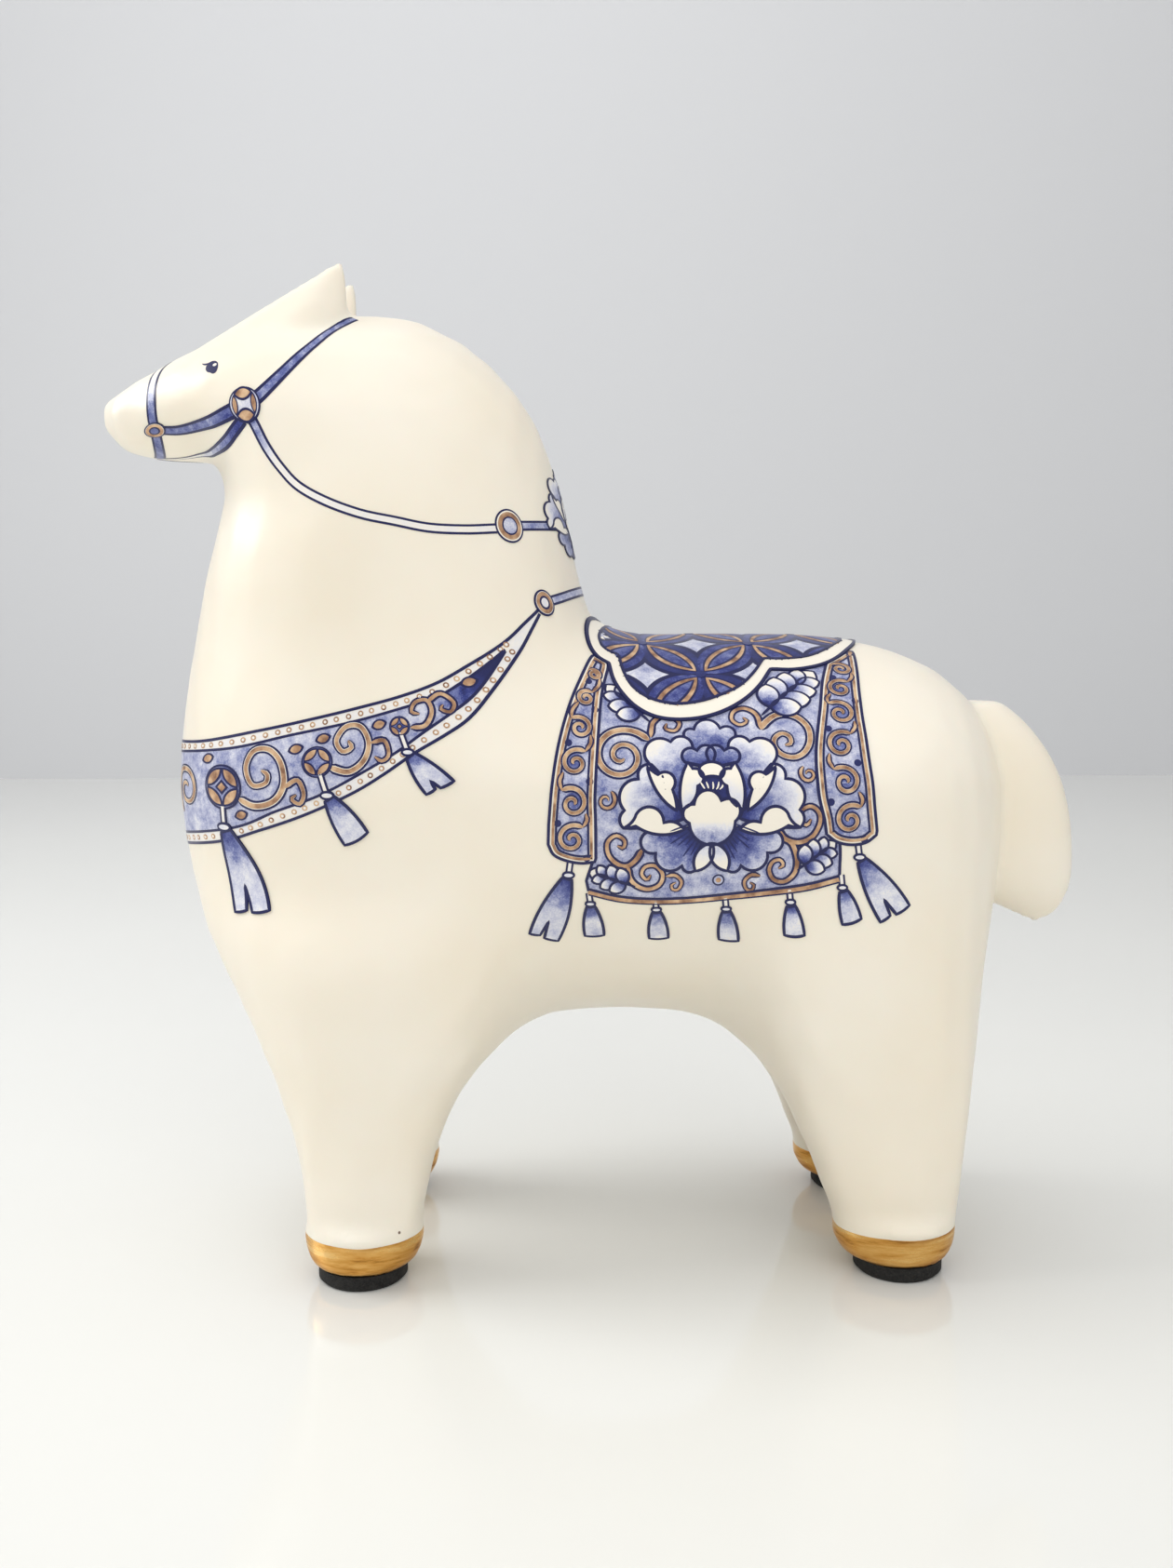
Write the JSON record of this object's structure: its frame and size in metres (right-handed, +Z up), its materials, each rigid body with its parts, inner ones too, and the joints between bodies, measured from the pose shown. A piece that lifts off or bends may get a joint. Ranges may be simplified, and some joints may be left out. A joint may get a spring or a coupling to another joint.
{
  "type": "porcelain horse figurine",
  "caption": "Hollow slip-cast porcelain horse figurine with blue painted tack, gilt hooves and stick-on foot pads.",
  "frame": {"origin": "centre of the footprint's bounding box, on the surface the horse stands on", "axes": "+Z up, the horse faces -X, its left side is towards -Y"},
  "size_m": [0.1992, 0.0772, 0.1985],
  "materials": {
    "porcelain": "satin ivory glaze, slightly uneven",
    "gilt": "brushed gold lustre over glaze, worn brown in streaks",
    "foot_pad": "matte black foam rubber",
    "cobalt_transfer": "cobalt blue fired transfer with thin gold lines",
    "pale_transfer": "pale blue wash with cobalt and gold line work",
    "eye_ink": "dark cobalt fired ink"
  },
  "bodies": {
    "root": {"body_shell": "porcelain", "tail": "porcelain", "left_ear": "porcelain", "right_ear": "porcelain", "front_left_hoof": "gilt", "front_left_pad": "foot_pad", "front_right_hoof": "gilt", "front_right_pad": "foot_pad", "rear_left_hoof": "gilt", "rear_left_pad": "foot_pad", "rear_right_hoof": "gilt", "rear_right_pad": "foot_pad", "saddle_seat": "cobalt_transfer", "left_front_flap": "cobalt_transfer", "left_rear_flap": "cobalt_transfer", "right_front_flap": "cobalt_transfer", "right_rear_flap": "cobalt_transfer", "left_cloth_tassels": "cobalt_transfer", "right_cloth_tassels": "cobalt_transfer", "breast_collar": "cobalt_transfer", "collar_tassels": "cobalt_transfer", "bridle": "cobalt_transfer", "reins": "cobalt_transfer", "neck_flower": "cobalt_transfer", "left_saddle_cloth": "pale_transfer", "right_saddle_cloth": "pale_transfer", "left_eye": "eye_ink", "right_eye": "eye_ink"}
  },
  "joints": []
}
